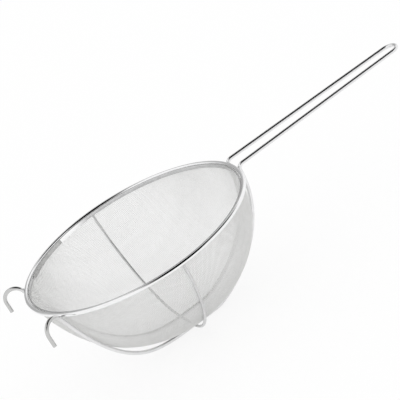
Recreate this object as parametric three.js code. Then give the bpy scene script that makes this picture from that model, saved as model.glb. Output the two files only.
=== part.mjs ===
// Large round mesh strainer: a wire-cloth bowl clamped in a steel rim, carried by one bent frame wire that
// makes the two hooks, the cradle under the bowl and the looped handle, with a thinner cross wire between.
// Millimetres, +Z up, +X along the handle.
import * as THREE from 'three';

// Rim: a round hoop outside the cloth and a flat band inside it
const RIM_RADIUS = 128;          // centre line of the hoop
const HOOP_WIRE = 4.4;           // diameter of the hoop
const BAND_THICKNESS = 0.8;
const BAND_TOP = 1.0;            // above the middle of the hoop
const BAND_BOTTOM = 3.2;         // below the middle of the hoop
const SEAT_GAP = 0.3;            // left between pieces that are welded or clamped together

// Wire-cloth bowl
const CLOTH_THICKNESS = 0.8;     // two cloth wires, one over the other
const CLOTH_EDGE_TOP = 0.8;      // how far the cut edge stands above the middle of the hoop
const BOWL_DEPTH = 107;          // from the middle of the hoop to the floor of the cloth
const SIDE_DROP = 43;            // reach of the steep side below the rim
const SIDE_LEAN = 6;             // how far the side leans in over that reach
const SIDE_BOW = 2.6;            // how far the middle of the bowl is drawn towards the handle
const FLOOR_REACH = 89;          // reach of the round floor from the bowl's axis
const WEAVE_COLUMNS = 24;        // the weave stands as a plain grid of openings: around the bowl
const WEAVE_ROWS = 6;            // openings from the rim to the floor
const WEAVE_OPEN = 0.79;         // open share of a pitch each way, as between the cloth's own wires
const WEAVE_BORDER = 4;          // closed border under the band
const WEAVE_MIDDLE = 18;         // closed middle of the floor, from the bowl's axis

// Frame wire
const FRAME_WIRE = 4.2;          // diameter
const HANDLE_REACH = 228;        // from the outside of the hoop to the tip of the loop
const HANDLE_RISE = 1.0;         // middle of the handle above the middle of the hoop
const HANDLE_BASE_SPACING = 29;  // between wire centres at the rim
const HANDLE_TIP_SPACING = 21.4; // between wire centres where the loop turns
const LEG_BEND = 6;              // bend radius where a leg turns down behind the rim
const LEG_REACH = 74;            // straightness of the cradle below that bend
const CRADLE_SPACING = 34;       // between the two runs under the bowl
const RUN_START = 2;             // straight run that the strainer stands on, from the bowl's axis
const RUN_END = 32;
const RUN_EASE_HANDLE = 20;      // how slowly the run lifts towards the handle
const RUN_EASE_HOOK = 51;        // how slowly the run lifts towards the hooks
const HOOK_ANGLE = 26.5;         // each hook's direction, in degrees from the handle's opposite
const HOOK_SLANT = 20;           // lean of the wire where it passes the hoop, in degrees
const HOOK_BEND = 12;            // bend radius of a hook
const HOOK_TIP = 11.3;           // straight end of a hook
const HOOK_REACH = 108;          // straightness of the cradle below a hook

// Cross wire
const CROSS_WIRE = 3.0;          // diameter
const FLOOR_CLEARANCE = 1.6;     // free height between the cloth and the cross wire
const CROSS_LEAN_EASE = 5;       // how much less than the cloth it leans in along the side
const CROSS_DROP_EASE = 2;       // how much further than the cloth its side runs straight
const CROSS_FLOOR_EASE = 10;     // how much nearer the bowl's axis than the cloth its floor turns

// Facets
const RIM_SEGMENTS = 96;
const WEAVE_STEPS_AROUND = 3;    // facets across one opening of the grid
const WEAVE_STEPS_DOWN = 2;
const HOOP_SIDES = 12;
const FRAME_SIDES = 12;
const CROSS_SIDES = 8;
const HOOK_STEPS = 12;
const HOOK_SIDE_STEPS = 16;      // cradle between a hook and the run
const HANDLE_SIDE_STEPS = 14;    // cradle between the run and the handle
const LEG_BEND_STEPS = 6;
const LEG_STEPS = 3;
const TURN_STEPS = 14;
const CROSS_STEPS = 16;

const steel = (name, color, roughness) =>
  new THREE.MeshStandardMaterial({ name, color, roughness, metalness: 1 });
const polished = steel('polished_steel', 0xd9dadb, 0.16);
const drawn = steel('drawn_wire', 0xd3d4d5, 0.2);
const rolled = steel('rolled_strip', 0xcfd0d1, 0.28);
const woven = steel('wire_cloth', 0xc4c4c1, 0.38);

const radians = (degrees) => THREE.MathUtils.degToRad(degrees);

// The rim's rings from the outside in: hoop, cloth edge, band
const clothOuter = RIM_RADIUS - HOOP_WIRE / 2 - SEAT_GAP;
const clothMiddle = clothOuter - CLOTH_THICKNESS / 2;
const bandOuter = clothOuter - CLOTH_THICKNESS - SEAT_GAP;
const bandInner = bandOuter - BAND_THICKNESS;
const clothFold = -BAND_BOTTOM - SEAT_GAP;

/** A closed (radius, height) outline turned about the Z axis. */
function turned(outline, segments) {
  const profile = [...outline, outline[0]].map(([radius, height]) => new THREE.Vector2(radius, height));
  return new THREE.LatheGeometry(profile, segments).rotateX(Math.PI / 2);
}

/** A regular polygon whose flats lie across the two frame directions of a swept wire. */
function wireSection(diameter, sides) {
  const corner = diameter / 2 / Math.cos(Math.PI / sides);
  const corners = Array.from({ length: sides }, (_, i) => {
    const angle = (2 * Math.PI * (i + 0.5)) / sides;
    return new THREE.Vector2(corner * Math.cos(angle), corner * Math.sin(angle));
  });
  return new THREE.Shape(corners);
}

/** A round bend: from the centre, out along one direction and turning towards another. */
class Bend extends THREE.Curve {
  constructor(centre, radius, from, towards, startAngle, endAngle) {
    super();
    Object.assign(this, { centre, radius, from, towards, startAngle, endAngle });
  }

  getPoint(t, target = new THREE.Vector3()) {
    const angle = THREE.MathUtils.lerp(this.startAngle, this.endAngle, t);
    return target.copy(this.centre)
      .addScaledVector(this.from, this.radius * Math.cos(angle))
      .addScaledVector(this.towards, this.radius * Math.sin(angle));
  }
}

/** A wire through given stations, whose section keeps square to each station's guide direction. */
class BentWire extends THREE.Curve {
  constructor(stations) {
    super();
    this.stations = stations;
  }

  getSpacedPoints() {
    return this.stations.map((station) => station.point);
  }

  computeFrenetFrames() {
    const tangents = this.stations.map((station) => station.tangent);
    const binormals = this.stations.map(({ tangent, guide }) =>
      guide.clone().addScaledVector(tangent, -guide.dot(tangent)).normalize());
    const normals = binormals.map((binormal, i) => binormal.clone().cross(tangents[i]));
    return { tangents, normals, binormals };
  }

  solid(diameter, sides) {
    const options = { steps: this.stations.length - 1, extrudePath: this, bevelEnabled: false };
    return new THREE.ExtrudeGeometry(wireSection(diameter, sides), options);
  }
}

/** Stations along joined curves; each later curve starts where the one before it ends. */
function stationsAlong(pieces, guide) {
  const stations = [];
  for (const { curve, steps } of pieces) {
    for (let i = stations.length ? 1 : 0; i <= steps; i += 1) {
      const tangent = curve.getTangentAt(i / steps).normalize();
      stations.push({ point: curve.getPointAt(i / steps), tangent, guide });
    }
  }
  return stations;
}

/** The same stations mirrored across the handle's plane and walked the other way. */
function mirroredBack(stations) {
  const flip = new THREE.Vector3(1, -1, 1);
  return stations.map(({ point, tangent, guide }) => ({
    point: point.clone().multiply(flip),
    tangent: tangent.clone().multiply(flip).negate(),
    guide: guide.clone().multiply(flip),
  })).reverse();
}

/** Marks along one way of the grid: the steps across each opening, then the start of the bar after it. */
function weaveMarks(start, end, count, steps) {
  const pitch = (end - start) / count;
  const marks = [];
  for (let i = 0; i < count; i += 1) {
    for (let j = 0; j <= steps; j += 1) {
      marks.push({ at: start + pitch * (i + (WEAVE_OPEN * j) / steps), open: j < steps });
    }
  }
  return marks;
}

/** Stations down the middle of the cloth: its cut edge, the fold under the band, the grid, the axis. */
function clothStations() {
  const side = new THREE.CubicBezierCurve(
    new THREE.Vector2(clothMiddle, clothFold),
    new THREE.Vector2(clothMiddle - SIDE_LEAN, clothFold - SIDE_DROP),
    new THREE.Vector2(FLOOR_REACH, -BOWL_DEPTH),
    new THREE.Vector2(0, -BOWL_DEPTH),
  );
  const length = side.getLength();
  const marks = weaveMarks(WEAVE_BORDER, length - WEAVE_MIDDLE, WEAVE_ROWS, WEAVE_STEPS_DOWN);
  return [
    { point: new THREE.Vector2(clothMiddle, CLOTH_EDGE_TOP), open: false },
    { point: side.getPointAt(0), open: false },
    ...marks.map(({ at, open }) => ({ point: side.getPointAt(at / length), open })),
    { point: side.getPointAt(1), open: false },
  ];
}

/** How far the cloth's ring at a height lies towards the handle. */
function ringShift(height) {
  const share = THREE.MathUtils.inverseLerp(clothFold, -BOWL_DEPTH, height);
  return SIDE_BOW * Math.sin(Math.PI * THREE.MathUtils.clamp(share, 0, 1));
}

/** Points on the outside and the inside of the cloth, for each station down it and mark around it. */
function clothPoints(rows, columns) {
  const pole = rows.length - 1;
  const mirror = new THREE.Vector2(-1, 1);
  return rows.flatMap(({ point }, i) => {
    const before = rows[Math.max(i - 1, 0)].point;
    const after = i < pole ? rows[i + 1].point : before.clone().multiply(mirror);
    const along = after.clone().sub(before).setLength(CLOTH_THICKNESS / 2);
    const outside = new THREE.Vector2(point.x - along.y, point.y + along.x);
    const inside = new THREE.Vector2(point.x + along.y, point.y - along.x);
    const shift = ringShift(point.y);
    return columns.flatMap(({ at }) => [outside, inside].flatMap(({ x, y }) =>
      [shift + x * Math.cos(at), x * Math.sin(at), y]));
  });
}

/** Bowl of wire cloth: a skin of even thickness that is open in a plain grid. */
function meshBowl() {
  const rows = clothStations();
  const columns = weaveMarks(0, 2 * Math.PI, WEAVE_COLUMNS, WEAVE_STEPS_AROUND);
  const pole = rows.length - 1;
  const around = (k) => (k + columns.length) % columns.length;
  const vertex = (i, k, inside) => 2 * (i * columns.length + around(k)) + inside;
  const isOpen = (i, k) => i < 0 || (rows[i].open && columns[around(k)].open);

  const index = [];
  const quad = (a, b, c, d) => index.push(a, b, c, a, c, d);
  const wedge = (a, b, c, d) => index.push(a, c, d);
  for (let i = 0; i < pole; i += 1) {
    const skin = i + 1 < pole ? quad : wedge;
    for (let k = 0; k < columns.length; k += 1) {
      if (isOpen(i, k)) continue;
      const corners = [[i, k], [i + 1, k], [i + 1, k + 1], [i, k + 1]];
      const beyond = [[i, k - 1], [i + 1, k], [i, k + 1], [i - 1, k]];
      const outer = corners.map(([row, column]) => vertex(row, column, 0));
      const inner = corners.map(([row, column]) => vertex(row, column, 1));
      skin(...outer);
      skin(...inner.toReversed());
      beyond.forEach(([row, column], edge) => {
        const next = (edge + 1) % corners.length;
        if (isOpen(row, column)) quad(outer[next], outer[edge], inner[edge], inner[next]);
      });
    }
  }

  const bowl = new THREE.BufferGeometry();
  bowl.setAttribute('position', new THREE.Float32BufferAttribute(clothPoints(rows, columns), 3));
  bowl.setIndex(index);
  bowl.computeVertexNormals();
  return bowl;
}

/** Round hoop outside the cloth. */
function rimHoop() {
  const corner = HOOP_WIRE / 2;
  const outline = Array.from({ length: HOOP_SIDES }, (_, i) => {
    const angle = (2 * Math.PI * i) / HOOP_SIDES;
    return [RIM_RADIUS + corner * Math.cos(angle), corner * Math.sin(angle)];
  });
  return turned(outline, RIM_SEGMENTS);
}

/** Flat band inside the cloth. */
function rimBand() {
  const outline = [
    [bandInner, -BAND_BOTTOM], [bandOuter, -BAND_BOTTOM], [bandOuter, BAND_TOP], [bandInner, BAND_TOP],
  ];
  return turned(outline, RIM_SEGMENTS);
}

// Heights under the bowl, from the cloth down: clearance, cross wire, cradle runs
const crossFloor = -BOWL_DEPTH - CLOTH_THICKNESS / 2 - FLOOR_CLEARANCE - CROSS_WIRE / 2;
const runHeight = crossFloor - CROSS_WIRE / 2 - SEAT_GAP - FRAME_WIRE / 2;
// Distance between the middles of the hoop and of a frame wire that is welded to it
const weldPitch = HOOP_WIRE / 2 + SEAT_GAP + FRAME_WIRE / 2;
// The handle's turn: its radius, and how far its middle lies from the bowl's axis
const turnRadius = HANDLE_TIP_SPACING / 2;
const turnCentre = RIM_RADIUS + HOOP_WIRE / 2 + HANDLE_REACH - FRAME_WIRE / 2 - turnRadius;

/** Half of the frame wire, from the tip of one hook to the start of the handle's turn. */
function frameHalf() {
  const up = new THREE.Vector3(0, 0, 1);
  const along = new THREE.Vector3(1, 0, 0);
  const away = new THREE.Vector3(-Math.cos(radians(HOOK_ANGLE)), Math.sin(radians(HOOK_ANGLE)), 0);
  const slant = radians(HOOK_SLANT);

  // Hook: touches the hoop low on its outside, goes over and down, and ends straight
  const touch = away.clone().multiplyScalar(RIM_RADIUS + weldPitch * Math.cos(slant));
  touch.z = -weldPitch * Math.sin(slant);
  const hookCentre = touch.clone()
    .addScaledVector(away, HOOK_BEND * Math.cos(slant))
    .addScaledVector(up, -HOOK_BEND * Math.sin(slant));
  const hook = new Bend(hookCentre, HOOK_BEND, away, up, 0, Math.PI - slant);
  const hookStart = hook.getPoint(0);
  const hookTip = new THREE.LineCurve3(hookStart.clone().addScaledVector(up, -HOOK_TIP), hookStart);

  // Cradle: down from the hook, a straight run, and up again behind the rim at the handle
  const runStart = new THREE.Vector3(RUN_START, CRADLE_SPACING / 2, runHeight);
  const runEnd = new THREE.Vector3(RUN_END, CRADLE_SPACING / 2, runHeight);
  const intoBowl = hook.getTangent(1);
  const hookSide = new THREE.CubicBezierCurve3(
    touch,
    touch.clone().addScaledVector(intoBowl, HOOK_REACH),
    runStart.clone().addScaledVector(along, -RUN_EASE_HOOK),
    runStart,
  );

  // Leg: comes up under the hoop and bends out into the handle, touching the hoop low on its outside
  const baseOffset = HANDLE_BASE_SPACING / 2;
  const bendDrop = LEG_BEND - HANDLE_RISE;
  const bendPitch = LEG_BEND + weldPitch;
  const hoopAtLeg = Math.sqrt(RIM_RADIUS ** 2 - baseOffset ** 2);
  const bendCentre = new THREE.Vector3(
    hoopAtLeg + Math.sqrt(bendPitch ** 2 - bendDrop ** 2), baseOffset, -bendDrop);
  const legBend = new Bend(bendCentre, LEG_BEND, along.clone().negate(), up, 0, Math.PI / 2);
  const legFoot = legBend.getPoint(0);
  const handleSide = new THREE.CubicBezierCurve3(
    runEnd,
    runEnd.clone().addScaledVector(along, RUN_EASE_HANDLE),
    legFoot.clone().addScaledVector(up, -LEG_REACH),
    legFoot,
  );

  const turnStart = new THREE.Vector3(turnCentre, turnRadius, HANDLE_RISE);
  const leg = new THREE.LineCurve3(legBend.getPoint(1), turnStart);

  const pieces = [
    { curve: hookTip, steps: 1 },
    { curve: hook, steps: HOOK_STEPS },
    { curve: hookSide, steps: HOOK_SIDE_STEPS },
    { curve: new THREE.LineCurve3(runStart, runEnd), steps: 1 },
    { curve: handleSide, steps: HANDLE_SIDE_STEPS },
    { curve: legBend, steps: LEG_BEND_STEPS },
    { curve: leg, steps: LEG_STEPS },
  ];
  return stationsAlong(pieces, new THREE.Vector3(0, 1, 0));
}

/** The handle's turn, between the two legs. */
function handleTurn() {
  const centre = new THREE.Vector3(turnCentre, 0, HANDLE_RISE);
  const across = new THREE.Vector3(0, 1, 0);
  const along = new THREE.Vector3(1, 0, 0);
  const down = new THREE.Vector3(0, 0, -1);
  const turn = new Bend(centre, turnRadius, across, along, 0, Math.PI);
  return stationsAlong([{ curve: turn, steps: TURN_STEPS }], down)
    .map((station) => ({ ...station, guide: station.tangent.clone().cross(down) }))
    .slice(1, -1);
}

/** One wire: hook, cradle, handle leg, turn, and back to the other hook. */
function frameWire() {
  const half = frameHalf();
  return new BentWire([...half, ...handleTurn(), ...mirroredBack(half)]).solid(FRAME_WIRE, FRAME_SIDES);
}

/** Wire across the cradle runs, from rim to rim under the bowl. */
function crossWire() {
  const end = new THREE.Vector3(0, RIM_RADIUS, -HOOP_WIRE / 2 - SEAT_GAP);
  const overRun = new THREE.Vector3(0, CRADLE_SPACING / 2, crossFloor);
  const side = new THREE.CubicBezierCurve3(
    end,
    new THREE.Vector3(0, RIM_RADIUS - SIDE_LEAN + CROSS_LEAN_EASE, end.z - SIDE_DROP - CROSS_DROP_EASE),
    new THREE.Vector3(0, FLOOR_REACH - CROSS_FLOOR_EASE, crossFloor),
    overRun,
  );
  const half = stationsAlong([{ curve: side, steps: CROSS_STEPS }], new THREE.Vector3(1, 0, 0));
  return new BentWire([...half, ...mirroredBack(half)]).solid(CROSS_WIRE, CROSS_SIDES);
}

const strainer = new THREE.Group();
strainer.name = 'strainer';
const pieces = [
  ['mesh_bowl', meshBowl(), woven],
  ['rim_hoop', rimHoop(), polished],
  ['rim_band', rimBand(), rolled],
  ['frame_wire', frameWire(), drawn],
  ['cross_wire', crossWire(), drawn],
];
for (const [name, geometry, material] of pieces) {
  const mesh = new THREE.Mesh(geometry, material.clone());
  mesh.name = name;
  strainer.add(mesh);
}

// The origin is on the surface that the strainer stands on, under the middle of its overall length
const box = new THREE.Box3().setFromObject(strainer, true);
strainer.position.set(-(box.min.x + box.max.x) / 2, 0, -box.min.z);
strainer.updateMatrixWorld(true);

export default strainer;
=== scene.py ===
"""Looks of the mesh strainer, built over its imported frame.

The bowl is woven wire by wire, the rim, frame and cross wires are round and smooth, and small beads
show where they are welded. All pieces ride on the one body and are in metres, in the part's frame.
"""

import logging
import math
from dataclasses import dataclass, field
from enum import Enum

import bmesh
import bpy
import numpy as np
from mathutils import Matrix, Vector


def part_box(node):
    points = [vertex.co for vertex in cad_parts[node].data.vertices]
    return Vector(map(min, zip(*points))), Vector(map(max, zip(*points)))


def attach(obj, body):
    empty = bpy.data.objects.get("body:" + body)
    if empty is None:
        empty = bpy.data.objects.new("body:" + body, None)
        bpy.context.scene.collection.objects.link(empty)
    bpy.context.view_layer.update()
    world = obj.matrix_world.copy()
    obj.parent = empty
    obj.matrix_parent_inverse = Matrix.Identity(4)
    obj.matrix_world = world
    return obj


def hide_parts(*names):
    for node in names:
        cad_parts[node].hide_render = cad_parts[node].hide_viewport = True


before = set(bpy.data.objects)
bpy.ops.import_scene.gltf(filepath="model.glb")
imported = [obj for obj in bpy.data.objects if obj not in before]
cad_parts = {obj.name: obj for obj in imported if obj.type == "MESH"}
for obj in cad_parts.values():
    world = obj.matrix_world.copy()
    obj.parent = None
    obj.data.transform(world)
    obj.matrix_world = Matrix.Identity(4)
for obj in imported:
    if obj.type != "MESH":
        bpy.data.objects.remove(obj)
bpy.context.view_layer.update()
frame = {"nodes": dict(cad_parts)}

LOG = logging.getLogger("strainer")
BODY = "root"
GRAIN = "grain"
SAME_PLACE = 1e-7
UP = Vector((0.0, 0.0, 1.0))
ALONG = Vector((1.0, 0.0, 0.0))
Colour = tuple[float, float, float]


class Side(Enum):
    """The two sides of the strainer, seen along the handle."""

    LEFT = 1.0
    RIGHT = -1.0


class Lay(Enum):
    """The two ways that wires run in the cloth."""

    ALONG_HANDLE = "warp"
    ACROSS_HANDLE = "weft"


class Slot(Enum):
    """The record's material slots."""

    CLOTH = "wire_cloth"
    RIM = "rim_steel"
    BAND = "band_steel"
    FRAME = "frame_steel"
    CROSS = "cross_steel"


class NodeSheet:
    """Adds and links the nodes of one material or world."""

    def __init__(self, tree: bpy.types.NodeTree) -> None:
        """Starts from an empty tree.

        Args:
            tree: The node tree to fill.
        """
        self.tree = tree
        tree.nodes.clear()

    def add(self, kind: str, inputs: dict | None = None, **settings: object) -> bpy.types.Node:
        """Adds one node.

        Args:
            kind: The node's type name without its ShaderNode prefix.
            inputs: Values or output sockets for the node's inputs, by name or number.
            settings: Values for the node's own properties.

        Returns:
            The new node.
        """
        node = self.tree.nodes.new("ShaderNode" + kind)
        for name, value in settings.items():
            setattr(node, name, value)
        for name, value in (inputs or {}).items():
            if isinstance(value, bpy.types.NodeSocket):
                self.tree.links.new(value, node.inputs[name])
            else:
                node.inputs[name].default_value = value
        return node

    def ramp(self, value: bpy.types.NodeSocket, low: float, high: float) -> bpy.types.NodeSocket:
        """Spreads a 0 to 1 pattern between two numbers.

        Args:
            value: The pattern.
            low: The number at 0.
            high: The number at 1.

        Returns:
            The number's socket.
        """
        spread = self.add("MapRange", {"Value": value, "To Min": low, "To Max": high})
        return spread.outputs["Result"]

    def tint(self, amount: bpy.types.NodeSocket, first: Colour, second: Colour) -> bpy.types.NodeSocket:
        """Mixes two colours by a pattern.

        Args:
            amount: The pattern, 0 for the first colour and 1 for the second.
            first: The first colour.
            second: The second colour.

        Returns:
            The mixed colour's socket.
        """
        mix = self.add("Mix", {"Factor": amount}, data_type="RGBA")
        mix.inputs["A"].default_value = (*first, 1.0)
        mix.inputs["B"].default_value = (*second, 1.0)
        return mix.outputs["Result"]

    def fade(self, amount: bpy.types.NodeSocket, first: bpy.types.NodeSocket,
             second: Colour) -> bpy.types.NodeSocket:
        """Fades a colour of the sheet into a plain one.

        Args:
            amount: The pattern, 0 for the first colour and 1 for the second.
            first: The first colour's socket.
            second: The second colour.

        Returns:
            The mixed colour's socket.
        """
        mix = self.add("Mix", {"Factor": amount}, data_type="RGBA")
        self.tree.links.new(first, mix.inputs["A"])
        mix.inputs["B"].default_value = (*second, 1.0)
        return mix.outputs["Result"]


@dataclass(frozen=True)
class SteelFinish:
    """Bright steel with clouded plating and fine lines along its length."""

    name: str
    bright: Colour
    dull: Colour
    smooth: float
    rough: float
    line_count: float
    line_depth: float
    cloud_scale: float = 160.0
    speck_scale: float = 3520.0
    line_pace: float = 30.0
    relief_height: float = 0.00002
    wear_range: tuple[float, float] = (0.12, 0.42)
    metal: float = 1.0
    scuffed: Colour | None = None
    scuff_from: float = -0.222
    scuff_to: float = -0.236

    def material(self) -> bpy.types.Material:
        """Makes the finish's material.

        Returns:
            The new material.
        """
        steel = bpy.data.materials.new(self.name)
        steel.use_nodes = True
        sheet = NodeSheet(steel.node_tree)
        place = sheet.add("TexCoord").outputs["Object"]
        cloud = sheet.add("TexNoise", {"Vector": place, "Scale": self.cloud_scale, "Detail": 4.0})
        speck = sheet.add("TexNoise", {"Vector": place, "Scale": self.speck_scale, "Detail": 2.0})

        # Lines left by the die or the rolls: slow along the wire, fast around it
        grain = sheet.add("Attribute", attribute_name=GRAIN)
        drawn = sheet.add("Mapping", {"Vector": grain.outputs["Vector"], "Scale": (
            self.line_pace, self.line_count, self.line_count)})
        lines = sheet.add("TexNoise", {"Vector": drawn.outputs["Vector"], "Scale": 1.0, "Detail": 5.0})

        wear = sheet.add("Math", {0: cloud.outputs["Fac"], 1: lines.outputs["Fac"]}, operation="MULTIPLY")
        worn = sheet.add("MapRange", {
            "Value": wear.outputs[0], "From Min": self.wear_range[0], "From Max": self.wear_range[1]})
        relief = sheet.add("Math", {0: lines.outputs["Fac"], 1: speck.outputs["Fac"]}, operation="ADD")
        bump = sheet.add("Bump", {
            "Height": relief.outputs[0], "Strength": self.line_depth, "Distance": self.relief_height})
        colour = sheet.tint(worn.outputs["Result"], self.dull, self.bright)
        if self.scuffed:
            along = sheet.add("SeparateXYZ", {"Vector": place})
            hooks = sheet.add("MapRange", {
                "Value": along.outputs["X"], "From Min": self.scuff_from, "From Max": self.scuff_to})
            colour = sheet.fade(hooks.outputs["Result"], colour, self.scuffed)
        shader = sheet.add("BsdfPrincipled", {
            "Base Color": colour,
            "Roughness": sheet.ramp(worn.outputs["Result"], self.rough, self.smooth),
            "Normal": bump.outputs["Normal"],
            "Metallic": self.metal,
        })
        sheet.add("OutputMaterial", {"Surface": shader.outputs["BSDF"]})
        return steel


POLISHED_HOOP = SteelFinish(
    "polished_hoop", (0.95, 0.95, 0.955), (0.88, 0.88, 0.885), 0.03, 0.09, 5.0, 0.10)
DRAWN_WIRE = SteelFinish(
    "drawn_wire", (0.87, 0.87, 0.875), (0.78, 0.78, 0.785), 0.17, 0.24, 6.0, 0.14,
    scuffed=(0.60, 0.60, 0.595))
THIN_WIRE = SteelFinish(
    "thin_wire", (0.72, 0.72, 0.725), (0.62, 0.62, 0.625), 0.20, 0.28, 6.0, 0.14)
ROLLED_STRIP = SteelFinish(
    "rolled_strip", (0.73, 0.73, 0.735), (0.62, 0.62, 0.625), 0.14, 0.26, 9.0, 0.25)
# Painted highlight: the lap is a much lighter copy of the band's steel, standing in for the white room that
# this stretch of the band mirrors.
LAP_PAINTED_HIGHLIGHT = SteelFinish(
    "lap_painted_highlight", (0.97, 0.97, 0.97), (0.93, 0.93, 0.93), 0.10, 0.20, 9.0, 0.20)
# Painted reflection: the tail is a darker copy of the band's steel, standing in for the dark reflection
# along that stretch of the band.
TAIL_PAINTED_DARK_REFLECTION = SteelFinish(
    "tail_painted_dark_reflection", (0.52, 0.52, 0.515), (0.42, 0.42, 0.415), 0.22, 0.34, 9.0, 0.20)
WELD_BEAD = SteelFinish(
    "weld_bead", (0.82, 0.82, 0.82), (0.68, 0.68, 0.675), 0.18, 0.34, 2.0, 0.35)
CLOTH_WIRE = SteelFinish(
    "cloth_wire", (0.87, 0.87, 0.862), (0.79, 0.79, 0.78), 0.30, 0.42, 2.0, 0.10, metal=0.28)


class Route:
    """The middle line of a bent wire, as knots of a Bezier curve."""

    def __init__(self, start: Vector) -> None:
        """Starts the line.

        Args:
            start: The first point.
        """
        self.points: list[Vector] = [start.copy()]
        self.before: list[Vector] = [start.copy()]
        self.after: list[Vector] = [start.copy()]

    @property
    def end(self) -> Vector:
        """The last point so far."""
        return self.points[-1]

    def curve(self, leave: Vector, arrive: Vector, end: Vector) -> None:
        """Adds a cubic span.

        Args:
            leave: The handle at the span's start.
            arrive: The handle at the span's end.
            end: The span's end.
        """
        self.after[-1] = leave.copy()
        self.points.append(end.copy())
        self.before.append(arrive.copy())
        self.after.append(end.copy())

    def line(self, end: Vector) -> None:
        """Adds a straight span.

        Args:
            end: The span's end.
        """
        start = self.end
        self.curve(start.lerp(end, 1 / 3), start.lerp(end, 2 / 3), end)

    def bend(self, centre: Vector, outward: Vector, turning: Vector, angle: float, spans: int) -> None:
        """Adds a round bend that starts at the last point.

        Args:
            centre: The bend's centre.
            outward: From the centre to the start, with the bend's radius as length.
            turning: The direction that the line starts in, as long as outward.
            angle: How far it turns, in radians.
            spans: How many cubic spans make it.
        """
        step = angle / spans
        reach = 4 / 3 * math.tan(step / 4)
        for i in range(spans):
            first, last = i * step, (i + 1) * step
            arm = [outward * math.cos(a) + turning * math.sin(a) for a in (first, last)]
            way = [turning * math.cos(a) - outward * math.sin(a) for a in (first, last)]
            self.curve(
                centre + arm[0] + way[0] * reach, centre + arm[1] - way[1] * reach, centre + arm[1])

    def mirror_back(self) -> None:
        """Adds the same line again, mirrored across the handle's plane and walked back."""
        flip = Matrix.Diagonal((1.0, -1.0, 1.0))
        back = list(zip(self.points, self.before, self.after))[::-1]
        for i, (point, before, after) in enumerate(back):
            if i == 0:
                self.after[-1] = flip @ before
                continue
            self.points.append(flip @ point)
            self.before.append(flip @ after)
            self.after.append(flip @ before)

    def swept(self, name: str, diameter: float, sides: int, steps: int) -> bpy.types.Mesh:
        """Sweeps a round wire along the line.

        Args:
            name: The mesh's name.
            diameter: The wire's diameter.
            sides: Faces around the wire, a multiple of 4.
            steps: Rings for each span.

        Returns:
            The wire's closed mesh, with its grain laid along it.
        """
        curve = bpy.data.curves.new(name, "CURVE")
        curve.dimensions = "3D"
        curve.bevel_depth = diameter / 2
        curve.bevel_resolution = sides // 2 - 2
        curve.resolution_u = steps
        curve.use_fill_caps = True
        spline = curve.splines.new("BEZIER")
        spline.bezier_points.add(len(self.points) - 1)
        for knot, point, before, after in zip(spline.bezier_points, self.points, self.before, self.after):
            knot.handle_left_type = knot.handle_right_type = "FREE"
            knot.co, knot.handle_left, knot.handle_right = point, before, after
        mesh = curve_to_mesh(curve)
        rings = np.array([v.co for v in mesh.vertices]).reshape(-1, sides, 3)
        middle = rings.mean(axis=1)
        length = np.concatenate(([0.0], np.cumsum(np.linalg.norm(np.diff(middle, axis=0), axis=1))))
        turn = 2 * math.pi * np.arange(sides) / sides
        lay_grain(mesh, np.repeat(length, sides), np.tile(turn, len(rings)))
        return mesh


def curve_to_mesh(curve: bpy.types.Curve) -> bpy.types.Mesh:
    """Makes a mesh from a curve and removes the curve.

    Args:
        curve: The curve.

    Returns:
        Its mesh.
    """
    holder = bpy.data.objects.new(curve.name, curve)
    bpy.context.scene.collection.objects.link(holder)
    ready = holder.evaluated_get(bpy.context.evaluated_depsgraph_get())
    mesh = bpy.data.meshes.new_from_object(ready)
    bpy.data.objects.remove(holder)
    bpy.data.curves.remove(curve)
    return mesh


def lay_grain(mesh: bpy.types.Mesh, length: np.ndarray, turn: np.ndarray) -> None:
    """Stores where each vertex lies along and around its wire, for the drawn lines.

    Args:
        mesh: The wire's mesh.
        length: Each vertex's place along the wire, in metres.
        turn: Each vertex's place around the wire, in radians.
    """
    grain = mesh.attributes.new(GRAIN, "FLOAT_VECTOR", "POINT")
    grain.data.foreach_set("vector", np.stack([length, np.cos(turn), np.sin(turn)], axis=1).ravel())


def add_piece(
        mesh: bpy.types.Mesh, name: str, finish: SteelFinish, slot: Slot, *nodes: str) -> bpy.types.Object:
    """Puts a finished mesh in the scene as a piece of the strainer.

    Args:
        mesh: The piece's mesh, already in place.
        name: The piece's name.
        finish: Its finish.
        slot: The record's slot that it takes; not used.
        nodes: The CAD nodes that it stands for.

    Returns:
        The piece's object.
    """
    mesh.name = name
    mesh.shade_smooth()
    mesh.materials.clear()
    mesh.materials.append(bpy.data.materials.get(finish.name) or finish.material())
    piece = bpy.data.objects.new(name, mesh)
    bpy.context.scene.collection.objects.link(piece)
    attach(piece, BODY)
    if nodes:
        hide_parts(*nodes)
    LOG.info("%s: %d faces", name, len(mesh.polygons))
    return piece


@dataclass(frozen=True)
class Stretch:
    """A stretch of the band's lapped end, by its angles about the bowl's axis."""

    name: str
    finish: SteelFinish
    start: float
    turn: float


# The lap's stretch is painted with a highlight and the tail's with a dark reflection; both are copies of
# the band's steel.
LAPPED_END = (
    Stretch("band_lap", LAP_PAINTED_HIGHLIGHT, math.radians(95.0), math.radians(18.0)),
    Stretch("band_tail", TAIL_PAINTED_DARK_REFLECTION, math.radians(113.0), math.radians(31.0)),
)


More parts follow.
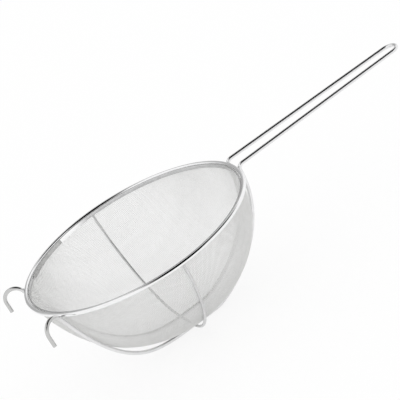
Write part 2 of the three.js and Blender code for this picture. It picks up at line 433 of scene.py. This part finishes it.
@dataclass
class Rim:
    """The rim: a round hoop outside the cloth and a flat band inside it."""

    centre: Vector
    radius: float = 0.128
    hoop_wire: float = 0.0044
    hoop_sides: int = 24
    segments: int = 192
    band_inner: float = 0.1236
    band_outer: float = 0.1244
    band_top: float = 0.0010
    band_bottom: float = -0.0032
    band_edge: float = 0.00025
    lap_top: tuple[float, float] = (0.1234, 0.0009)
    lap_bottom: tuple[float, float] = (0.1221, -0.0032)
    lap_thickness: float = 0.0003
    lap_steps: int = 12
    lap_crease: float = math.radians(40.0)

    def build(self) -> None:
        """Makes the hoop, the band and the band's lapped end, whose first stretch carries a painted
        highlight and whose second a painted dark reflection.
        """
        add_piece(self.hoop(), "hoop", POLISHED_HOOP, Slot.RIM, "rim_hoop")
        add_piece(self.band(), "band", ROLLED_STRIP, Slot.BAND, "rim_band")
        for stretch in LAPPED_END:
            lap = add_piece(self.lap(stretch), stretch.name, stretch.finish, Slot.BAND)
            lap.data.set_sharp_from_angle(angle=self.lap_crease)

    def hoop(self) -> bpy.types.Mesh:
        """Turns the hoop's round section about the bowl's axis.

        Returns:
            The hoop's mesh.
        """
        shape = bmesh.new()
        bmesh.ops.create_circle(shape, segments=self.hoop_sides, radius=self.hoop_wire / 2)
        upright = Matrix.Translation((self.radius, 0, 0)) @ Matrix.Rotation(math.pi / 2, 4, "X")
        bmesh.ops.transform(shape, matrix=upright, verts=shape.verts)
        return self.turned(shape, "hoop")

    def band(self) -> bpy.types.Mesh:
        """Turns the band's section, with its edges eased, about the bowl's axis.

        Returns:
            The band's mesh.
        """
        shape = bmesh.new()
        corners = [
            (self.band_inner, self.band_bottom), (self.band_outer, self.band_bottom),
            (self.band_outer, self.band_top), (self.band_inner, self.band_top)]
        section = shape.faces.new([shape.verts.new((x, 0, z)) for x, z in corners])
        bmesh.ops.bevel(
            shape, geom=list(section.verts), offset=self.band_edge, offset_type="OFFSET",
            affect="VERTICES", segments=3, profile=0.5, material=-1)
        bmesh.ops.delete(shape, geom=list(shape.faces), context="FACES_ONLY")
        return self.turned(shape, "band")

    def lap(self, stretch: Stretch) -> bpy.types.Mesh:
        """Turns a stretch of the lapped end, which leans off the band's inside, part of the way round.

        Args:
            stretch: The stretch.

        Returns:
            Its mesh.
        """
        shape = bmesh.new()
        start = Matrix.Rotation(stretch.start, 3, "Z")
        corners = [Vector((x, 0, z)) for x, z in (self.lap_top, self.lap_bottom)]
        inward = Vector((-self.lap_thickness, 0, 0))
        outline = [corners[0], corners[1], corners[1] + inward, corners[0] + inward]
        section = shape.faces.new([shape.verts.new(start @ corner) for corner in outline])
        bmesh.ops.spin(
            shape, geom=[section, *section.edges, *section.verts], axis=UP, angle=stretch.turn,
            steps=self.lap_steps)
        bmesh.ops.remove_doubles(shape, verts=shape.verts, dist=SAME_PLACE)
        return self.finished(shape, stretch.name)

    def turned(self, shape: bmesh.types.BMesh, name: str) -> bpy.types.Mesh:
        """Turns a section all the way round the bowl's axis.

        Args:
            shape: The section, in the XZ plane about the rim's centre.
            name: The mesh's name.

        Returns:
            The ring's mesh.
        """
        bmesh.ops.spin(
            shape, geom=list(shape.verts) + list(shape.edges), axis=UP, angle=2 * math.pi,
            steps=self.segments, use_merge=True)
        bmesh.ops.remove_doubles(shape, verts=shape.verts, dist=SAME_PLACE)
        return self.finished(shape, name)

    def finished(self, shape: bmesh.types.BMesh, name: str) -> bpy.types.Mesh:
        """Moves a turned shape to the rim.

        Args:
            shape: The shape, about the rim's centre.
            name: The mesh's name.

        Returns:
            Its mesh, with its grain laid round the rim.
        """
        bmesh.ops.recalc_face_normals(shape, faces=shape.faces)
        mesh = bpy.data.meshes.new(name)
        shape.to_mesh(mesh)
        shape.free()
        place = np.array([v.co for v in mesh.vertices])
        out = np.hypot(place[:, 0], place[:, 1]) - self.radius
        lay_grain(mesh, place[:, 1], np.arctan2(place[:, 2], out))
        mesh.transform(Matrix.Translation(self.centre))
        return mesh


@dataclass
class WireCloth:
    """The bowl: a square-woven cloth of fine wire, pressed into the bowl's shape."""

    centre: Vector
    edge_radius: float = 0.1251
    edge_top: float = 0.0008
    fold: float = -0.0035
    side_lean: float = 0.006
    side_drop: float = 0.043
    side_bow: float = 0.0026
    floor_reach: float = 0.089
    depth: float = 0.107
    wire: float = 0.00034
    pitch: float = 0.0016
    crimp: float = 0.00021
    spare: float = 0.012
    samples: int = 2001
    slope_step: float = 0.00002
    first_step: float = 0.6
    rounds: int = 9
    turn_limit: float = 0.3
    table: tuple[np.ndarray, np.ndarray, np.ndarray] = field(init=False)
    edge_arc: float = field(init=False)
    net: np.ndarray = field(init=False)

    def __post_init__(self) -> None:
        """Works out the bowl's profile and how the cloth lies on it."""
        self.table = self.profile()
        self.edge_arc = float(np.interp(self.edge_top, self.table[2], self.table[0]))
        self.net = self.draped_net()

    def profile(self) -> tuple[np.ndarray, np.ndarray, np.ndarray]:
        """Samples the middle of the cloth from the floor's centre to past the cut edge.

        Returns:
            Arc lengths, radii and heights of the samples.
        """
        t = np.linspace(0, 1, self.samples)[:, None]
        corners = np.array([
            (0.0, -self.depth), (self.floor_reach, -self.depth),
            (self.edge_radius - self.side_lean, self.fold - self.side_drop), (self.edge_radius, self.fold)])
        weights = ((1 - t) ** 3, 3 * t * (1 - t) ** 2, 3 * t * t * (1 - t), t ** 3)
        bowl = sum(weight * corner for weight, corner in zip(weights, corners))
        top = [(self.edge_radius, self.edge_top), (self.edge_radius, self.edge_top + self.spare)]
        line = np.vstack([bowl, top])
        arc = np.concatenate(([0.0], np.cumsum(np.linalg.norm(np.diff(line, axis=0), axis=1))))
        return arc, line[:, 0], line[:, 1]

    def on_bowl(self, arc: np.ndarray, azimuth: np.ndarray) -> np.ndarray:
        """Gives points on the bowl.

        Args:
            arc: Distances from the floor's centre, along the cloth.
            azimuth: Angles about the bowl's axis.

        Returns:
            The points, one to a row.
        """
        radius = np.interp(arc, self.table[0], self.table[1])
        height = np.interp(arc, self.table[0], self.table[2])
        return np.stack([radius * np.cos(azimuth), radius * np.sin(azimuth), height], axis=-1)

    def slope(self, arc: np.ndarray) -> tuple[np.ndarray, np.ndarray]:
        """Gives the profile's direction.

        Args:
            arc: Distances from the floor's centre, along the cloth.

        Returns:
            The direction's parts outward and up.
        """
        steps = (self.slope_step, -self.slope_step)
        ahead, behind = (self.on_bowl(arc + step, np.zeros_like(arc)) for step in steps)
        way = (ahead - behind)[..., [0, 2]]
        way /= np.linalg.norm(way, axis=-1, keepdims=True)
        return way[..., 0], way[..., 1]

    def draped_net(self) -> np.ndarray:
        """Drapes a quarter of the cloth: its wires keep their pitch along themselves, and only shear.

        Returns:
            Arc length and azimuth of each crossing, by its count of wires from the two middle wires.
        """
        count = int(self.table[0][-1] / self.pitch)
        net = np.full((count, count, 2), np.nan)
        net[:, 0, 0] = net[0, :, 0] = np.arange(count) * self.pitch
        net[:, 0, 1], net[0, :, 1] = 0.0, math.pi / 2
        for diagonal in range(2, 2 * count - 1):
            i = np.arange(max(1, diagonal - count + 1), min(diagonal, count))
            j = diagonal - i
            first, second, corner = net[i - 1, j], net[i, j - 1], net[i - 1, j - 1]
            near = np.maximum(first[:, 0], second[:, 0]) < self.edge_arc + self.spare / 2
            if not near.any():
                break
            i, j, first, second, corner = i[near], j[near], first[near], second[near], corner[near]
            net[i, j] = self.crossing(first, second, corner)
        return net

    def crossing(self, first: np.ndarray, second: np.ndarray, corner: np.ndarray) -> np.ndarray:
        """Finds the crossings one pitch away from two earlier ones each.

        Args:
            first: Arc length and azimuth of the earlier crossings on one side.
            second: The same on the other side.
            corner: The crossings behind both.

        Returns:
            Arc length and azimuth of the new crossings.
        """
        ends = [self.on_bowl(point[:, 0], point[:, 1]) for point in (first, second, corner)]
        guess = ends[0] + ends[1] - ends[2]
        arc = (first[:, 0] + second[:, 0]) / 2 + self.first_step * self.pitch
        azimuth = np.arctan2(guess[:, 1], guess[:, 0])
        for _ in range(self.rounds):
            out, rise = self.slope(arc)
            place = self.on_bowl(arc, azimuth)
            radius = np.hypot(place[:, 0], place[:, 1])
            by_arc = np.stack([out * np.cos(azimuth), out * np.sin(azimuth), rise], axis=-1)
            by_turn = np.stack([-radius * np.sin(azimuth), radius * np.cos(azimuth), 0 * radius], axis=-1)
            gaps = [place - end for end in ends[:2]]
            miss = np.stack([(gap * gap).sum(-1) - self.pitch ** 2 for gap in gaps], axis=-1)
            slopes = np.stack([
                np.stack([2 * (gap * by).sum(-1) for by in (by_arc, by_turn)], axis=-1)
                for gap in gaps], axis=-2)
            step = np.linalg.solve(slopes, miss[..., None])[..., 0]
            arc = arc - np.clip(step[:, 0], -self.pitch, self.pitch)
            azimuth = azimuth - np.clip(step[:, 1], -self.turn_limit, self.turn_limit)
        return np.stack([arc, azimuth], axis=-1)

    def wire_line(self, lay: Lay, number: int) -> np.ndarray:
        """Follows one wire over and under the wires that it crosses, from edge to edge.

        Args:
            lay: The way that it runs.
            number: Its count from the middle wire, negative on the other side.

        Returns:
            Its points, one to a row, or none where it misses the bowl.
        """
        quarter = self.net[:, abs(number)] if lay is Lay.ALONG_HANDLE else self.net[abs(number)]
        inside = quarter[:, 0] <= self.edge_arc
        reach = len(inside) if inside.all() else int(np.argmin(inside))
        if reach < 2 or not np.isfinite(quarter[reach, 0]):
            return np.empty((0, 3))
        cut = (self.edge_arc - quarter[reach - 1, 0]) / (quarter[reach, 0] - quarter[reach - 1, 0])
        last = quarter[reach - 1] + cut * (quarter[reach] - quarter[reach - 1])
        half = np.vstack([quarter[:reach], last])
        place = self.on_bowl(half[:, 0], half[:, 1])
        out, rise = self.slope(half[:, 0])
        inward = np.stack([-rise * np.cos(half[:, 1]), -rise * np.sin(half[:, 1]), out], axis=-1)
        over = np.where((np.arange(len(half)) + number) % 2 == 0, 1.0, -1.0)
        over[-1] = 0.0
        side = self.crimp if lay is Lay.ALONG_HANDLE else -self.crimp
        half = place + inward * (over * side)[:, None]
        across, along = (1, 0) if lay is Lay.ALONG_HANDLE else (0, 1)
        if number < 0:
            half[:, across] *= -1
        other = half[:0:-1].copy()
        other[:, along] *= -1
        line = np.vstack([other, half])
        line[:, 0] += self.ring_shift(line[:, 2])
        return line + np.array(self.centre)

    def ring_shift(self, height: np.ndarray) -> np.ndarray:
        """Tells how far the cloth lies towards the handle.

        Args:
            height: Heights on the cloth, from the middle of the hoop.

        Returns:
            The shift at each height.
        """
        share = np.clip((height - self.fold) / (-self.depth - self.fold), 0, 1)
        return self.side_bow * np.sin(math.pi * share)

    def build(self) -> None:
        """Weaves the cloth as four pieces: each lay of wires, on each side of its middle wire."""
        count = self.net.shape[0]
        for lay, lower, upper in (
                (Lay.ALONG_HANDLE, "warp_right", "warp_left"),
                (Lay.ACROSS_HANDLE, "weft_hooks", "weft_handle")):
            for name, numbers in ((lower, range(1 - count, 0)), (upper, range(count))):
                mesh = self.woven(name, [self.wire_line(lay, number) for number in numbers])
                add_piece(mesh, "cloth_" + name, CLOTH_WIRE, Slot.CLOTH, "mesh_bowl")

    def woven(self, name: str, lines: list[np.ndarray]) -> bpy.types.Mesh:
        """Makes one mesh of many fine wires.

        Args:
            name: The mesh's name.
            lines: The wires' middle lines.

        Returns:
            The mesh.
        """
        curve = bpy.data.curves.new(name, "CURVE")
        curve.dimensions = "3D"
        curve.bevel_depth = self.wire / 2
        curve.bevel_resolution = 0
        curve.use_fill_caps = True
        for line in lines:
            if len(line) < 3:
                continue
            spline = curve.splines.new("POLY")
            spline.points.add(len(line) - 1)
            spline.points.foreach_set("co", np.hstack([line, np.ones((len(line), 1))]).ravel())
        return curve_to_mesh(curve)


@dataclass
class FrameWire:
    """One bent wire: hook, cradle, handle leg, turn, and back to the other hook."""

    rim: Rim
    wire: float = 0.0042
    weld_pitch: float = 0.0046
    hook_angle: float = math.radians(26.5)
    hook_slant: float = math.radians(20.0)
    hook_bend: float = 0.012
    hook_tip: float = 0.0113
    hook_reach: float = 0.108
    run_start: float = 0.002
    run_end: float = 0.032
    run_offset: float = 0.017
    run_height: float = -0.1144
    run_ease_hook: float = 0.051
    run_ease_handle: float = 0.020
    leg_offset: float = 0.0145
    leg_bend: float = 0.006
    leg_reach: float = 0.074
    handle_rise: float = 0.001
    handle_tip: float = 0.3582
    turn_radius: float = 0.0107
    end_chamfer: float = 0.0004
    sides: int = 20
    steps: int = 24

    def away(self, side: Side) -> Vector:
        """The direction from the bowl's axis to a side's hook."""
        return Vector((-math.cos(self.hook_angle), side.value * math.sin(self.hook_angle), 0))

    def hook_touch(self, side: Side) -> Vector:
        """The wire's middle where a side's hook meets the hoop."""
        reach = self.rim.radius + self.weld_pitch * math.cos(self.hook_slant)
        return self.away(side) * reach - UP * (self.weld_pitch * math.sin(self.hook_slant))

    def leg_centre(self, side: Side) -> Vector:
        """The centre of the bend where a side's leg turns out into the handle."""
        drop = self.leg_bend - self.handle_rise
        out = math.sqrt((self.leg_bend + self.weld_pitch) ** 2 - drop ** 2)
        return Vector((self.hoop_at_leg() + out, side.value * self.leg_offset, -drop))

    def hoop_at_leg(self) -> float:
        """How far the hoop lies from the bowl's axis, along the handle, at a leg."""
        return math.sqrt(self.rim.radius ** 2 - self.leg_offset ** 2)

    def route(self) -> Route:
        """Walks the wire's middle line from the left hook's tip to the right one's.

        Returns:
            The line, about the rim's centre.
        """
        away, slant = self.away(Side.LEFT), self.hook_slant
        touch = self.hook_touch(Side.LEFT)
        centre = touch + (away * math.cos(slant) - UP * math.sin(slant)) * self.hook_bend
        hook_start = centre + away * self.hook_bend
        line = Route(hook_start - UP * self.hook_tip)
        line.line(hook_start)
        line.bend(centre, away * self.hook_bend, UP * self.hook_bend, math.pi - slant, 4)

        run_start = Vector((self.run_start, self.run_offset, self.run_height))
        run_end = Vector((self.run_end, self.run_offset, self.run_height))
        into_bowl = -away * math.sin(slant) - UP * math.cos(slant)
        line.curve(touch + into_bowl * self.hook_reach, run_start - ALONG * self.run_ease_hook, run_start)
        line.line(run_end)
        bend = self.leg_centre(Side.LEFT)
        foot = bend - ALONG * self.leg_bend
        line.curve(run_end + ALONG * self.run_ease_handle, foot - UP * self.leg_reach, foot)
        line.bend(bend, -ALONG * self.leg_bend, UP * self.leg_bend, math.pi / 2, 2)
        turn = Vector((self.handle_tip - self.turn_radius - self.wire / 2, 0, self.handle_rise))
        across = Vector((0, self.turn_radius, 0))
        line.line(turn + across)
        line.bend(turn, across, ALONG * self.turn_radius, math.pi / 2, 2)
        line.mirror_back()
        return line

    def build(self) -> None:
        """Makes the wire, with its cut ends eased."""
        mesh = self.route().swept("frame", self.wire, self.sides, self.steps)
        shape = bmesh.new()
        shape.from_mesh(mesh)
        caps = [face for face in shape.faces if len(face.verts) > 4]
        rims = list({edge for cap in caps for edge in cap.edges})
        bmesh.ops.bevel(
            shape, geom=rims, offset=self.end_chamfer, offset_type="OFFSET", affect="EDGES",
            segments=2, profile=0.5, material=-1)
        shape.to_mesh(mesh)
        shape.free()
        mesh.transform(Matrix.Translation(self.rim.centre))
        add_piece(mesh, "frame", DRAWN_WIRE, Slot.FRAME, "frame_wire")


@dataclass
class CrossWire:
    """The thinner wire across the cradle, from rim to rim under the bowl."""

    rim: Rim
    wire: float = 0.003
    end_drop: float = -0.0025
    side_lean: float = 0.001
    side_drop: float = 0.045
    floor_turn: float = 0.079
    flat: float = 0.017
    floor: float = -0.1105
    sides: int = 16
    steps: int = 32

    def build(self) -> None:
        """Makes the wire."""
        end = Vector((0, self.rim.radius, self.end_drop))
        line = Route(end)
        line.curve(
            Vector((0, self.rim.radius - self.side_lean, self.end_drop - self.side_drop)),
            Vector((0, self.floor_turn, self.floor)), Vector((0, self.flat, self.floor)))
        line.line(Vector((0, 0, self.floor)))
        line.mirror_back()
        mesh = line.swept("cross", self.wire, self.sides, self.steps)
        mesh.transform(Matrix.Translation(self.rim.centre))
        add_piece(mesh, "cross", THIN_WIRE, Slot.CROSS, "cross_wire")


@dataclass
class Welds:
    """Small beads where the wires are welded to the hoop and to each other."""

    rim: Rim
    frame: FrameWire
    cross: CrossWire
    thickness: float = 0.0011
    half_gap: float = 0.00015
    hoop_bead: tuple[float, float] = (0.0034, 0.0030)
    cradle_bead: tuple[float, float] = (0.0026, 0.0028)
    bead_segments: tuple[int, int] = (18, 12)

    def bead(self, shape: bmesh.types.BMesh, place: Vector, through: Vector, along: Vector,
             size: tuple[float, float]) -> None:
        """Adds one bead.

        Args:
            shape: The mesh that takes it.
            place: Its middle, about the rim's centre.
            through: The direction from one wire to the other.
            along: The direction that it is longest in.
            size: Its length and width.
        """
        around, down = self.bead_segments
        ball = bmesh.ops.create_uvsphere(shape, u_segments=around, v_segments=down, radius=0.5)
        z_axis = through.normalized()
        x_axis = (along - z_axis * along.dot(z_axis)).normalized()
        turn = Matrix((x_axis, z_axis.cross(x_axis), z_axis)).transposed().to_4x4()
        spread = Matrix.Diagonal((*size, self.thickness * 2, 1.0))
        bmesh.ops.transform(
            shape, matrix=Matrix.Translation(self.rim.centre + place) @ turn @ spread, verts=ball["verts"])

    def build(self) -> None:
        """Makes all eight beads as one piece."""
        shape = bmesh.new()
        for side in Side:
            self.hook_bead(shape, side)
            self.leg_bead(shape, side)
            self.crossing_bead(shape, side)
            self.end_bead(shape, side)
        mesh = bpy.data.meshes.new("welds")
        shape.to_mesh(mesh)
        shape.free()
        place = np.array([v.co for v in mesh.vertices])
        lay_grain(mesh, place[:, 0], place[:, 2] / self.thickness)
        add_piece(mesh, "welds", WELD_BEAD, Slot.FRAME)

    def hook_bead(self, shape: bmesh.types.BMesh, side: Side) -> None:
        """Welds a hook to the hoop."""
        hoop = self.frame.away(side) * self.rim.radius
        through = self.frame.hook_touch(side) - hoop
        self.bead(shape, hoop + through / 2, through, self.frame.away(side).cross(UP), self.hoop_bead)

    def leg_bead(self, shape: bmesh.types.BMesh, side: Side) -> None:
        """Welds a handle leg to the hoop."""
        hoop = Vector((self.frame.hoop_at_leg(), side.value * self.frame.leg_offset, 0))
        through = (self.frame.leg_centre(side) - hoop).normalized() * self.frame.weld_pitch
        self.bead(shape, hoop + through / 2, through, Vector((0, 1, 0)), self.hoop_bead)

    def crossing_bead(self, shape: bmesh.types.BMesh, side: Side) -> None:
        """Welds the cross wire to a run of the cradle."""
        height = self.cross.floor - self.cross.wire / 2 - self.half_gap
        place = Vector((0, side.value * self.frame.run_offset, height))
        self.bead(shape, place, UP, ALONG, self.cradle_bead)

    def end_bead(self, shape: bmesh.types.BMesh, side: Side) -> None:
        """Welds an end of the cross wire to the hoop."""
        place = Vector((0, side.value * self.rim.radius, self.cross.end_drop + self.half_gap))
        self.bead(shape, place, UP, ALONG, self.hoop_bead)


@dataclass(frozen=True)
class Screen:
    """A round darker part of the studio, as the steel mirrors it."""

    azimuth: float
    elevation: float
    inner: float
    outer: float
    level: float

    def shade(self, sheet: NodeSheet, way: bpy.types.NodeSocket) -> bpy.types.NodeSocket:
        """Darkens the room round the screen's middle.

        Args:
            sheet: The world's nodes.
            way: The direction looked in.

        Returns:
            The light's share that is left.
        """
        flat = math.cos(self.elevation)
        middle = (flat * math.cos(self.azimuth), flat * math.sin(self.azimuth), math.sin(self.elevation))
        facing = sheet.add("VectorMath", {0: way, 1: middle}, operation="DOT_PRODUCT")
        dark = sheet.add("MapRange", {
            "Value": facing.outputs["Value"], "From Min": math.cos(self.outer),
            "From Max": math.cos(self.inner), "To Min": 1.0, "To Max": self.level})
        return dark.outputs["Result"]


SCREENS = (
    Screen(math.radians(-80.0), math.radians(42.0), math.radians(22.0), math.radians(34.0), 0.0),
    Screen(math.radians(-5.0), math.radians(68.0), math.radians(28.0), math.radians(40.0), 0.0),
    Screen(math.radians(95.0), math.radians(14.0), math.radians(14.0), math.radians(48.0), 0.45),
)


@dataclass
class Studio:
    """White floor, white surroundings with darker screens, and the camera."""

    rim_centre: Vector
    azimuth: float = math.radians(-14.769)
    elevation: float = math.radians(22.0275)
    roll: float = math.radians(-30.452)
    aim: tuple[float, float, float] = (0.07332, -0.0269, 0.0)
    reach: float = 1.68442
    focal_pixels: float = 1639.9
    frame_pixels: float = 400.0
    sensor: float = 36.0
    near_and_far: tuple[float, float] = (0.01, 60.0)
    floor_size: float = 9.0
    floor_white: float = 0.98
    floor_glow: float = 0.8
    floor_shine: float = 0.5

    def build(self) -> None:
        """Makes the floor, the light and the camera."""
        self.floor()
        self.surroundings()
        self.camera()

    def floor(self) -> None:
        """Makes the plain white floor."""
        shape = bmesh.new()
        bmesh.ops.create_grid(shape, x_segments=1, y_segments=1, size=self.floor_size)
        mesh = bpy.data.meshes.new("floor")
        shape.to_mesh(mesh)
        shape.free()
        white = bpy.data.materials.new("white_floor")
        white.use_nodes = True
        sheet = NodeSheet(white.node_tree)
        ray = sheet.add("LightPath").outputs
        paint = sheet.add("BsdfDiffuse", {"Color": (*(self.floor_white,) * 3, 1.0)})
        glow = sheet.add("Emission", {"Color": (1.0, 1.0, 1.0, 1.0), "Strength": 1.0})
        mirrored = sheet.add("Math", {0: ray["Is Glossy Ray"], 1: self.floor_shine}, operation="MULTIPLY")
        share = sheet.add("Math", {
            0: ray["Is Camera Ray"], 1: self.floor_glow, 2: mirrored.outputs[0]}, operation="MULTIPLY_ADD")
        both = sheet.add("MixShader", {
            0: share.outputs[0], 1: paint.outputs["BSDF"], 2: glow.outputs["Emission"]})
        sheet.add("OutputMaterial", {"Surface": both.outputs["Shader"]})
        mesh.materials.append(white)
        floor = bpy.data.objects.new("floor", mesh)
        bpy.context.scene.collection.objects.link(floor)

    def surroundings(self) -> None:
        """Surrounds the strainer with white, and shows its gloss the dark and grey parts of a studio."""
        world = bpy.data.worlds.new("studio")
        bpy.context.scene.world = world
        world.use_nodes = True
        sheet = NodeSheet(world.node_tree)
        way = sheet.add("TexCoord").outputs["Generated"]
        room = SCREENS[0].shade(sheet, way)
        for screen in SCREENS[1:]:
            both = sheet.add("Math", {0: room, 1: screen.shade(sheet, way)}, operation="MULTIPLY")
            room = both.outputs[0]
        light = sheet.add("LightPath")
        level = sheet.add("Mix", {0: light.outputs["Is Glossy Ray"], 2: 1.0, 3: room})
        glow = sheet.add("Background", {"Strength": level.outputs[0]})
        glow.inputs["Color"].default_value = (1.0, 1.0, 1.0, 1.0)
        sheet.add("OutputWorld", {"Surface": glow.outputs["Background"]})

    def camera(self) -> None:
        """Sets the camera at the photograph's viewing angle."""
        back = Vector((
            math.sin(self.azimuth) * math.cos(self.elevation),
            -math.cos(self.azimuth) * math.cos(self.elevation), math.sin(self.elevation)))
        level = UP.cross(back).normalized()
        rise = back.cross(level)
        right = level * math.cos(self.roll) + rise * math.sin(self.roll)
        top = rise * math.cos(self.roll) - level * math.sin(self.roll)
        place = self.rim_centre + Vector(self.aim) + back * self.reach
        data = bpy.data.cameras.new("camera")
        data.sensor_width = self.sensor
        data.lens = self.focal_pixels / self.frame_pixels * self.sensor
        data.clip_start, data.clip_end = self.near_and_far
        camera = bpy.data.objects.new("camera", data)
        camera.matrix_world = Matrix.Translation(place) @ Matrix((right, top, back)).transposed().to_4x4()
        bpy.context.scene.collection.objects.link(camera)
        bpy.context.scene.camera = camera


def main() -> None:
    """Builds the strainer and its studio."""
    logging.basicConfig(level=logging.INFO, format="%(name)s %(message)s")
    low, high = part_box("rim_hoop")
    centre = (Vector(low) + Vector(high)) / 2
    rim = Rim(centre)
    rim.build()
    WireCloth(centre).build()
    frame_wire = FrameWire(rim)
    frame_wire.build()
    cross_wire = CrossWire(rim)
    cross_wire.build()
    Welds(rim, frame_wire, cross_wire).build()
    Studio(centre).build()
    bpy.context.scene.view_settings.view_transform = "Standard"


if __name__ == "__main__":
    main()
